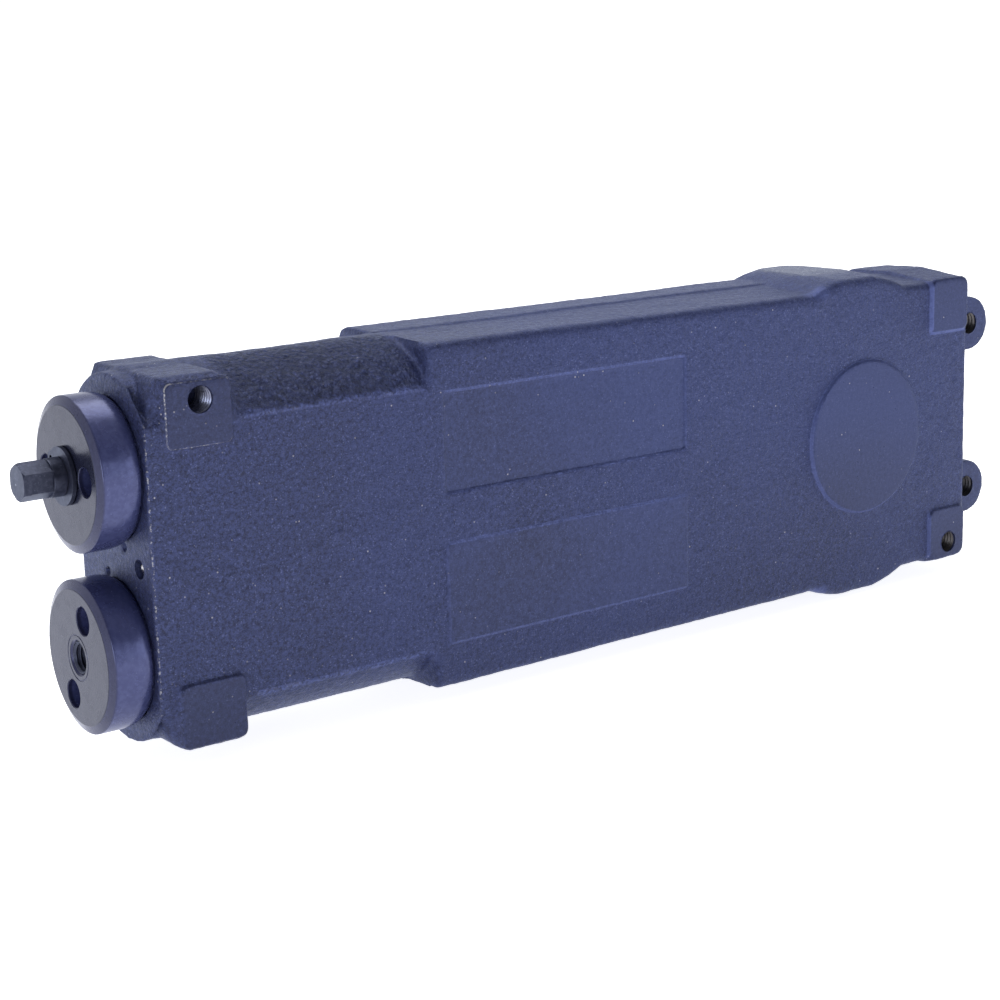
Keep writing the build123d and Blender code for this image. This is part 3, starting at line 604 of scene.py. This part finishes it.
def build_casting():
    ob = link("cast_body", cad_mesh("housing", "cast_body"))
    # close every machined cavity, so that only the outer skin is reworked
    plugs = [cyl("p", 18.4, X_LEFT, -52.5, center=(0, Y_AX, s * ZC)) for s in (1, -1)]
    plugs.append(box_mesh("p", -54.2, 41.7, 2.9, 42.4, -34.2, 34.2))
    plugs.append(cyl("p", 2.9, X_LEFT, -53, center=(0, 8.4, 0), seg=32))
    for vx in (-80.0, -115.0):
        plugs.append(cyl("p", 4.8, 7.0, 42.4, "Y", (vx, 0, 0), 48))
    for hx in (-58.0, -25.0, 8.0, 40.0):
        for hz in (-39.5, 39.5):
            plugs.append(cyl("p", 2.3, 33.5, 42.4, "Y", (hx, 0, hz), 32))
    for hx, hz, d in ((-236.0, 42.1, 9.7), (39.5, -41.3, 16.2)):
        plugs.append(cyl("p", 4.1, 0.0, d, "Y", (hx, 0, hz), 64))
    for s in (1, -1):
        plugs.append(cyl("p", 4.2, EAR[1], 30.0, "Y", (EAR[0], 0, s * EAR[2]), 64))
    boolean(ob, plugs, "UNION")
    m = ob.modifiers.new("r", "REMESH")
    m.mode, m.octree_depth, m.scale, m.sharpness = "SHARP", 9, 0.99, 1.0
    m.use_remove_disconnected = False
    apply_mods(ob)
    me = ob.data
    co = get_co(ob.data) / M
    vg = ob.vertex_groups.new(name="soft")
    crisp = (co[:, 1] < 1.75) & (np.abs(co[:, 0] + 2.5) < 247.0) & (np.abs(co[:, 2]) < 45.0)
    vg.add([int(i) for i in np.nonzero(~crisp)[0]], 1.0, "REPLACE")
    m = ob.modifiers.new("s", "SMOOTH")
    m.factor, m.iterations, m.vertex_group = 0.5, 7, "soft"
    vg = ob.vertex_groups.new(name="shoulder")
    sh = (np.abs(co[:, 0] + 166.5) < 5.5) & (np.abs(co[:, 2]) > 35.5) & (co[:, 1] > 0.9) & (co[:, 1] < 24)
    vg.add([int(i) for i in np.nonzero(sh)[0]], 1.0, "REPLACE")
    m = ob.modifiers.new("s1", "SMOOTH")
    m.factor, m.iterations, m.vertex_group = 0.5, 16, "shoulder"
    m = ob.modifiers.new("s2", "SMOOTH")
    m.factor, m.iterations = 0.5, 4
    apply_mods(ob)
    me = ob.data
    co = get_co(me) / M
    # draw the step at the parting line out into a slope
    x, y, z = co.T
    az, sz = np.abs(z), np.sign(z)
    r = np.hypot(y - Y_AX, az - ZC)
    on = (x < -167.0) * (az > ZC) * (r > 23.3) * (y < 26.0) * (y > 8)
    push = on * np.clip(24.4 + 1.0 * smooth01(11.0, 24.6, y) - r, 0, 1.0) * smooth01(-247.5, -245.5, x)
    co[:, 1] += push * (y - Y_AX) / r
    co[:, 2] += push * sz * (az - ZC) / r
    zb = 48.35 - 1.15 * np.clip((x + 167.5) / 179.5, 0, 1)
    on = (x > -170.5) * (x < -52.0) * (az > zb - 0.5) * (y < 26.0) * (y > 6)
    push = on * np.clip(zb + 0.6 * smooth01(9.0, 24.6, y) - np.abs(co[:, 2]), 0, 0.6)
    co[:, 2] += push * sz
    # hollow between each left lug's pad and the end ring
    x, y, z = co.T
    lug = smooth01(36.0, 40.5, np.abs(z)) * smooth01(-251.0, -249.4, x) * (1 - smooth01(4, 15, y))
    co[:, 1] += lug * 1.15 * np.clip(-245.75 - x, 0, 3.4)
    set_co(me, co * M)
    no = get_no(me)
    x, y, z = co[:, 0], co[:, 1], co[:, 2]
    az = np.abs(z)

    def rect(x0, x1, z0, z1, soft=0.6):
        return (smooth01(x0 - soft, x0 + soft, x) * smooth01(-x1 - soft, -x1 + soft, -x)
                * smooth01(z0 - soft, z0 + soft, z) * smooth01(-z1 - soft, -z1 + soft, -z))

    front = smooth01(0.55, 0.9, -no[:, 1]) * (y < 3)
    disc = smooth01(-24.6, -23.6, -np.hypot(x, z)) * (y < 3)
    pads = np.zeros(len(co))
    for r in ((-245.5, -227.5, 30.6, 46.8), (-245.5, -227.5, -46.6, -30.3),
              (30.2, 46.7, 30.1, 46.9), (30.8, 46.7, -46.1, -29.8)):
        pads = np.maximum(pads, rect(*r) * (y < 3))
    panels = np.maximum(rect(-163.1, -76.2, 6.6, 34.6), rect(-163.1, -76.2, -35.5, -7.3)) * (y < 3)
    flats = smooth01(51.2, 51.5, az)
    ear_face = smooth01(0.8, 0.95, -no[:, 1]) * (x > 50)
    back = smooth01(0.8, 0.95, no[:, 1]) * (y > 41)
    smoothz = np.clip(np.maximum.reduce([disc, pads, panels * 0.75, flats, ear_face * 0.8, back * 0.85]), 0, 1)
    # granular flank over each cylinder, in front of its crown
    flank = (smooth01(-226, -221, x) * smooth01(168.5, 171.5, -x) * smooth01(35.6, 37.5, az)
             * smooth01(-26, -20, -y))
    left_end = smooth01(223, 228, -x) * smooth01(35.8, 37.2, az) * (y < 30)
    coarse = np.clip(flank * np.where(z > 0, 1.0, 0.12) + 0.08 * left_end, 0, 1)
    rough = (1 - smoothz)
    disp = 0.16 * vnoise(co, 28, 1) + 0.09 * vnoise(co, 9, 2)
    disp *= 0.35 + 0.65 * rough
    disp += rough * (0.060 * vnoise(co, 3.3, 3) + 0.060 * vnoise(co, 1.7, 4))
    # ragged border where the pattern plates of the panels, pads and disc meet the sand
    ragged = np.zeros(len(co))
    for rc in ((-163.1, -76.2, 6.6, 34.6), (-163.1, -76.2, -35.5, -7.3), (-245.5, -227.5, 30.6, 46.8),
               (30.2, 46.7, 30.1, 46.9), (30.8, 46.7, -46.1, -29.8)):
        pr = rect(*rc, soft=1.2)
        ragged = np.maximum(ragged, 4 * pr * (1 - pr) * (y < 3))
    disp += ragged * (0.10 * vnoise(co, 1.5, 31) + 0.06 * vnoise(co, 0.9, 33))
    gran = 1 - np.clip(cells(co, 1.7, 5) / 0.62, 0, 1)
    low = 0.45 + 0.55 * smooth01(-17, -5, -y)
    disp += coarse * low * (0.42 * gran + 0.30 * vnoise(co, 1.6, 6) + 0.15 * vnoise(co, 4.0, 8) - 0.05)
    # small raised dash left by the mould
    dx, dz = x - DASH[0], z - DASH[1]
    along, across = 0.96 * dx + 0.28 * dz, -0.28 * dx + 0.96 * dz
    disp += 0.35 * np.exp(-(along / 1.7) ** 2 - (across / 0.55) ** 2) * (y < 2)
    pits = np.clip(0.16 - cells(co, 6.0, 11), 0, 1) / 0.16
    disp -= rough * 0.16 * pits
    # keep the seats for the caps, ears, cover and the resting faces true
    hold = np.maximum.reduce([
        (x < X_LEFT + 0.5) * 0.75, back * 0.85, flats, ear_face * 0.7,
        disc * 0.55, pads * 0.55])
    disp *= 1 - np.clip(hold, 0, 1)
    co2 = co + no * disp[:, None]
    set_co(me, co2 * M)

    # faint rubbing along the crown lines; sharper wear is in the enamel
    crown = smooth01(-0.8, -0.2, -np.abs(az - 36.4)) * (y < 2.2) * (x < -170) * (x > -226)
    wear = 0.10 * crown * smooth01(0.0, 0.7, vnoise(co, 4, 22))
    ridge = smooth01(-0.9, -0.3, -np.abs(y - 24.5)) * (az > 46.5) * (x < -224)
    wear = np.maximum(wear, 0.25 * ridge)
    set_attr(me, "smooth_zone", smoothz)
    set_attr(me, "coarse", coarse)
    set_attr(me, "wear", np.clip(wear, 0, 1))

    # machine it: bores, chamber, tapped holes
    cuts = []
    for s in (1, -1):
        cuts.append(cyl("c", 17.03, -262, -53, center=(0, Y_AX, s * ZC), seg=160))
        cuts.append(lathe_mesh("c", [(-262, 0), (-262, 18.9), (X_LEFT - 0.2, 18.9), (X_LEFT + 0.7, 18.1),
                                     (-237.5, 18.08), (-237.5, 0)], "X", (0, Y_AX, s * ZC), 160))
    cuts.append(box_mesh("c", -54.05, 41.6, 7.0, 50, -34.05, 34.05))
    cuts.append(cyl("c", 2.55, -262, X_LEFT + 6, center=(0, 8.4, 0), seg=48))
    for vx in (-80.0, -115.0):
        cuts.append(cyl("c", 4.6, 37.3, 50, "Y", (vx, 0, 0), 64))
        cuts.append(cyl("c", 3.55, 22.0, 39.5, "Y", (vx, 0, 0), 48))
        cuts.append(cyl("c", 2.45, 19.5, 22.6, "Y", (vx, 0, 0), 48))
    for hx in (-58.0, -25.0, 8.0, 40.0):
        for hz in (-39.5, 39.5):
            cuts.append(cyl("c", 2.05, 33.9, 50, "Y", (hx, 0, hz), 32))
    for hx, hz, d in ((-236.0, 42.1, 9.5), (39.5, -41.3, 16.0)):
        cuts.append(lathe_mesh("c", [(-5, 0), (-5, 3.45), (0.75, 3.45), (0.8, 4.12), (d, 4.12), (d, 0)],
                               "Y", (hx, 0, hz), 96))
    for s in (1, -1):
        cuts.append(lathe_mesh("c", [(5, 0), (5, 3.75), (14.3, 3.55), (14.6, 4.12), (40, 4.12), (40, 0)],
                               "Y", (EAR[0], 0, s * EAR[2]), 96))
    for dy, dz in ((16.5, 4.2), (27.0, -4.2)):
        cuts.append(lathe_mesh("c", [(X_LEFT - 1, 0), (X_LEFT - 1, 1.7), (X_LEFT + 0.1, 1.35), (X_LEFT + 0.7, 0.9),
                                     (X_LEFT + 0.95, 0.0)], "X", (0, dy, dz), 32))
    boolean(ob, cuts, "DIFFERENCE")
    shade(ob, 38)
    return ob


casting = build_casting()
adopt(casting, "housing", m_cast)


# threads in the tapped holes: an inner helix standing in from the wall
def thread_sleeve(name, centre, axis, a0, a1, sign, r_minor=3.4, r_major=4.0, r_wall=4.13, pitch=1.25, cham=0.6, seg=48):
    rows = int((a1 - a0) / pitch * 12) + 1
    bm = bmesh.new()
    grid = []
    for i in range(rows):
        a = a0 + (a1 - a0) * i / (rows - 1)
        ring = []
        for k in range(seg):
            th = 2 * math.pi * k / seg
            ph = ((a - a0) / pitch - sign * k / seg) % 1.0
            t = 1 - abs(2 * ph - 1)
            t = min(1.0, max(0.0, (t - 0.12) / 0.76))
            r = r_major - (r_major - r_minor) * t
            depth = (a - a0)
            r = max(r, r_minor + cham * max(0.0, 1 - depth / cham) * 1.05)
            r = min(r, r_wall - 0.02)
            ring.append(bm.verts.new(pt(axis, a, r * math.cos(th), r * math.sin(th), centre)))
        grid.append(ring)
    outer = []
    for a in (a0, a1):
        outer.append([bm.verts.new(pt(axis, a, r_wall * math.cos(2 * math.pi * k / seg),
                                      r_wall * math.sin(2 * math.pi * k / seg), centre)) for k in range(seg)])
    loops = [outer[0]] + grid + [outer[1]]
    for A, B in zip(loops, loops[1:] + loops[:1]):
        for k in range(seg):
            k2 = (k + 1) % seg
            bm.faces.new((A[k], B[k], B[k2], A[k2]))
    bmesh.ops.recalc_face_normals(bm, faces=bm.faces)
    me = bpy.data.meshes.new(name)
    bm.to_mesh(me)
    bm.free()
    ob = link(name, me)
    shade(ob, 50)
    return ob


for nm, c, a0, a1 in (("thread_upper_left", (-236.0, 0, 42.1), 0.85, 9.4),
                      ("thread_lower_right", (39.5, 0, -41.3), 0.85, 15.9),
                      ("thread_ear_upper", (EAR[0], 0, EAR[2]), EAR[1] + 0.7, 29.85),
                      ("thread_ear_lower", (EAR[0], 0, -EAR[2]), EAR[1] + 0.7, 29.85)):
    # the upper-left hole's thread takes the lighter enamel: painted highlight of its lit wall
    adopt(thread_sleeve(nm, c, "Y", a0, a1, 1), None,
          m_thread_enamel_highlight if nm == "thread_upper_left" else m_thread)


# ---------------------------------------------------------------------------
# end caps
# ---------------------------------------------------------------------------
def cap_profile(hole, extra=()):
    """Outer profile of a cap, from its centre hole round the outside and back in. (x, r) in mm."""
    f = CAP_FACE
    p = list(extra)
    p += [(f, 17.45), (f + 0.04, 17.62), (f + 1.02, 19.84), (f + 1.20, 19.97), (f + 1.45, 20.0),
          (X_LEFT - 5.0, 20.0), (X_LEFT - 4.1, 19.97), (X_LEFT - 3.2, 19.88), (X_LEFT - 2.4, 19.73), (X_LEFT - 1.7, 19.5),
          (X_LEFT - 1.1, 19.2), (X_LEFT - 0.6, 18.8), (X_LEFT - 0.25, 18.4), (X_LEFT - 0.1, 17.95),
          (-244.4, 17.95), (-244.3, 15.3), (-240.9, 15.3), (-240.8, 17.95), (-238.7, 17.95), (-238.2, 17.5)]
    return p


def pin_holes(side, pts_):
    out = []
    for dy, dz in pts_:
        out.append(lathe_mesh("c", [(CAP_FACE - 2, 0), (CAP_FACE - 2, 3.98), (CAP_FACE - 0.02, 3.98),
                                    (CAP_FACE + 0.2, 3.76), (CAP_FACE + 5.0, 3.75), (CAP_FACE + 6.9, 0)],
                              "X", (0, Y_AX + dy, side * ZC + dz), 64))
    return out


f = CAP_FACE
prof = [(-238.2, 10.2), (-241.0, 10.2), (-241.0, 5.08), (-247.2, 5.08), (-247.3, 7.3), (-249.5, 7.3), (-249.6, 5.08),
        (f + 0.35, 5.1), (f, 5.4)]
cap1 = link("upper_cap", lathe_mesh("upper_cap", prof + cap_profile(0), "X", (0, Y_AX, ZC), 192))
boolean(cap1, pin_holes(1, ((-11.4, 0.0), (11.4, 0.0))))
shade(cap1, 28)
crisp(cap1)
adopt(cap1, "spring_cap", m_cap_up)

pa = math.atan2(10.6, -4.3)
prof = [(-238.2, 2.54), (-250.0, 2.54), (-250.0, 4.14), (f + 0.9, 4.14), (f + 0.12, 4.65), (f, 4.85),
        (f, 5.72), (f + 0.16, 5.85), (f + 0.16, 6.02), (f, 6.15)]
cap2 = link("lower_cap", lathe_mesh("lower_cap", prof + cap_profile(0), "X", (0, Y_AX, -ZC), 192))
boolean(cap2, pin_holes(-1, ((11.4 * math.cos(pa), 11.4 * math.sin(pa)), (-11.4 * math.cos(pa), -11.4 * math.sin(pa)))))
shade(cap2, 28)
crisp(cap2)
adopt(cap2, "damper_cap", m_cap_lo)
adopt(thread_sleeve("thread_cap_port", (0, Y_AX, -ZC), "X", f + 0.45, -250.05, 1), None, m_hex)

# ---------------------------------------------------------------------------
# adjusting screw: turned core, hexagon with broken edges and a small notch
# ---------------------------------------------------------------------------
def build_screw():
    c = (0, Y_AX, ZC)
    core = link("adjuster_screw", lathe_mesh("adjuster_screw", [
        (-268.3, 0), (-268.3, 4.86), (-267.9, 5.0), (CAP_FACE - 1.58, 5.0), (CAP_FACE - 1.53, 4.42),
        (CAP_FACE - 0.17, 4.42), (CAP_FACE - 0.12, 5.0), (-239.8, 5.0), (-239.8, 10.0), (-237.0, 10.0), (-237.0, 6.0),
        (-181.0, 6.0), (-180.0, 5.0), (-180.0, 0)], "X", c, 96))
    R = 8.65 / math.sqrt(3)
    bm = bmesh.new()
    rings = []
    for a in (-276.0, -267.7):
        rings.append([bm.verts.new(pt("X", a, R * math.cos(math.radians(90 + 60 * i)), R * math.sin(math.radians(90 + 60 * i)), c))
                      for i in range(6)])
    bm.faces.new(rings[0])
    bm.faces.new(list(reversed(rings[1])))
    for i in range(6):
        j = (i + 1) % 6
        bm.faces.new((rings[0][j], rings[0][i], rings[1][i], rings[1][j]))
    bmesh.ops.recalc_face_normals(bm, faces=bm.faces)
    me = bpy.data.meshes.new("hexa")
    bm.to_mesh(me)
    bm.free()
    hx = link("hexa", me)
    boolean(hx, [lathe_mesh("k", [(-276.1, 0), (-276.1, 4.42), (-275.98, 4.52), (-275.35, 5.15), (-267.6, 5.15), (-267.0, 0)],
                            "X", c, 96)], "INTERSECT")
    boolean(hx, [box_mesh("k", -276.5, -274.1, 15.0, 17.86, 18.0, 21.2)])
    m = hx.modifiers.new("bev", "BEVEL")
    m.width, m.segments, m.limit_method, m.angle_limit = 0.16 * M, 3, "ANGLE", math.radians(30)
    apply_mods(hx)
    boolean(core, [hx.data.copy()], "UNION")
    bpy.data.objects.remove(hx)
    shade(core, 30)
    return crisp(core)


screw = build_screw()
adopt(screw, "adjusting_screw", m_hex, "adjuster")


# ---------------------------------------------------------------------------
# refined copies of other visible CAD nodes: welded, flats merged, edges broken
# ---------------------------------------------------------------------------
def islands(node):
    """Centre in X and Z of each separate solid of a CAD node."""
    bm = bmesh.new()
    bm.from_mesh(cad_mesh(node, node + "_tmp"))
    bmesh.ops.remove_doubles(bm, verts=bm.verts, dist=1e-7)
    seen, out = set(), []
    for v in bm.verts:
        if v in seen:
            continue
        stack, isle = [v], []
        seen.add(v)
        while stack:
            a = stack.pop()
            isle.append(a.co)
            for e in a.link_edges:
                b = e.other_vert(a)
                if b not in seen:
                    seen.add(b)
                    stack.append(b)
        out.append([(min(c[i] for c in isle) + max(c[i] for c in isle)) / 2 for i in (0, 2)])
    bm.free()
    return out


def refine(node, name, mat, body, width=0.25, seg=2, angle=30, centres=()):
    ob = link(name, cad_mesh(node, name))
    bm = bmesh.new()
    bm.from_mesh(ob.data)
    bmesh.ops.remove_doubles(bm, verts=bm.verts, dist=1e-7)
    # faces with several holes are split through the hole centres, so no face wraps round a hole
    for axis, col in ((0, 0), (2, 1)):
        for v in sorted({round(c[col], 5) for c in centres}):
            no = [0, 0, 0]
            no[axis] = 1
            co = [0, 0, 0]
            co[axis] = v
            cut = bmesh.ops.bisect_plane(bm, geom=bm.verts[:] + bm.edges[:] + bm.faces[:], dist=1e-6,
                                         plane_co=co, plane_no=no)
            for g in cut["geom_cut"]:
                if isinstance(g, bmesh.types.BMEdge):
                    g.seam = True
    bmesh.ops.dissolve_limit(bm, angle_limit=math.radians(0.5), verts=bm.verts, edges=bm.edges,
                             delimit={"SEAM"})
    bm.to_mesh(ob.data)
    bm.free()
    m = ob.modifiers.new("bev", "BEVEL")
    m.width, m.segments, m.limit_method, m.angle_limit = width * M, seg, "ANGLE", math.radians(angle)
    m.use_clamp_overlap = True
    apply_mods(ob)
    shade(ob, 35)
    crisp(ob)
    return adopt(ob, node, mat, body)


refine("adjuster_circlip", "retaining_ring", m_hex, "adjuster", 0.12)
refine("chamber_cover", "cover_plate", m_cover, BODY, 0.45, 3,
       centres=islands("cover_screws") + [[0.0, 0.0]])
refine("cover_screws", "cover_screw_set", m_black, BODY, 0.12)
refine("spindle", "spindle_shaft", m_ground, "spindle_set", 0.3)
refine("shaft_seal", "spindle_seal", m_rubber, BODY, 0.2)
refine("closing_valve", "closing_valve_needle", m_brass, "closing_valve_screw", 0.15)
refine("latching_valve", "latching_valve_needle", m_brass, "latching_valve_screw", 0.15)

SLOT_MAT = {
    "housing_paint": m_cast, "cover_paint": m_cover, "cap_paint": m_cap_up, "hex_steel": m_hex,
    "black_steel": m_black, "ground_steel": m_ground, "plate_steel": m_plate, "spring_steel": m_spring,
    "bronze": m_bronze, "brass": m_brass, "rubber": m_rubber, "gasket_paper": m_gasket,
}
for sub in frame["record"]["subparts"]:
    ob = frame["nodes"][sub["node"]]
    mat = SLOT_MAT[sub["material_slot"]]
    if ob.material_slots:
        for s in ob.material_slots:
            s.material = mat
    else:
        ob.data.materials.append(mat)

# ---------------------------------------------------------------------------
# floor, light, camera
# ---------------------------------------------------------------------------
me = bpy.data.meshes.new("floor")
S = 40.0
me.from_pydata([(-S, -S, 0), (S, -S, 0), (S, S, 0), (-S, S, 0)], [], [(0, 1, 2, 3)])
floor = link("floor", me)
floor.location.z = FLOOR_Z * M - 0.0004
k = Nodes("pale_floor")
k.set(Base_Color=(0.92, 0.92, 0.93), Roughness=0.85, Specular_IOR_Level=0.15,
      Emission_Color=(1.0, 1.0, 1.0), Emission_Strength=0.85)
floor.data.materials.append(k.mat)

w = bpy.data.worlds.new("tent")
scene.world = w
w.use_nodes = True
t = w.node_tree
t.nodes.clear()
o = t.nodes.new("ShaderNodeOutputWorld")
bg = t.nodes.new("ShaderNodeBackground")
tc = t.nodes.new("ShaderNodeTexCoord")
sep = t.nodes.new("ShaderNodeSeparateXYZ")
t.links.new(tc.outputs["Generated"], sep.inputs[0])
# white tent, darker on the side the viewer stands on
mr = t.nodes.new("ShaderNodeMapRange")
mr.inputs[1].default_value, mr.inputs[2].default_value = -0.75, 0.1
mr.inputs[3].default_value, mr.inputs[4].default_value = 0.09, 1.08
t.links.new(sep.outputs["Y"], mr.inputs[0])
# and a little darker overhead
up = t.nodes.new("ShaderNodeMapRange")
up.inputs[1].default_value, up.inputs[2].default_value = 0.12, 0.7
up.inputs[3].default_value, up.inputs[4].default_value = 1.0, 0.5
t.links.new(sep.outputs["Z"], up.inputs[0])
mul = t.nodes.new("ShaderNodeMath")
mul.operation = "MULTIPLY"
t.links.new(mr.outputs[0], mul.inputs[0])
t.links.new(up.outputs[0], mul.inputs[1])
t.links.new(mul.outputs[0], bg.inputs["Strength"])
bg.inputs["Color"].default_value = (0.98, 0.99, 1.0, 1)
t.links.new(bg.outputs[0], o.inputs[0])


def area(name, loc, target, size, power, colour=(1, 1, 1)):
    L = bpy.data.lights.new(name, "AREA")
    L.shape = "RECTANGLE"
    L.size, L.size_y = size
    L.energy = power
    L.color = colour
    ob = bpy.data.objects.new(name, L)
    COL.objects.link(ob)
    ob.location = loc
    d = Vector(target) - Vector(loc)
    ob.rotation_euler = d.to_track_quat("-Z", "Y").to_euler()
    return ob


area("top_box", (-0.10, 0.45, 1.1), (-0.1, 0.0, 0), (1.2, 0.8), 9)
area("front_fill", (0.9, -1.5, 0.25), (-0.05, 0, 0), (1.0, 0.8), 5, (0.9, 0.94, 1.0))
area("left_strip", (-1.25, -0.75, 0.15), (-0.20, 0, 0), (0.45, 0.5), 4.0, (0.86, 0.92, 1.0))

cam = bpy.data.cameras.new("camera")
cam_ob = bpy.data.objects.new("camera", cam)
COL.objects.link(cam_ob)
R = Matrix(((0.8102830599968804, -0.5853797257377362, -0.027783797028202162),
            (-0.13627821245135993, -0.14210258208578969, -0.9804259813854451),
            (0.5699733427917077, 0.798208890491558, -0.19491781767473765)))
rot = Matrix((R[0], -R[1], -R[2])).transposed()
cam_ob.matrix_world = Matrix.Translation((-0.454891, -0.423335, 0.124736)) @ rot.to_4x4()
cam.sensor_fit, cam.sensor_width = "HORIZONTAL", 36.0
cam.lens = 1949.284 * 36.0 / 1000.0
cam.shift_x = (500 - 477.75) / 1000.0
cam.shift_y = (436.22 - 500) / 1000.0
cam.clip_start, cam.clip_end = 0.01, 50
scene.camera = cam_ob

scene.view_settings.view_transform = "Standard"
scene.view_settings.look = "None"

bpy.context.view_layer.update()
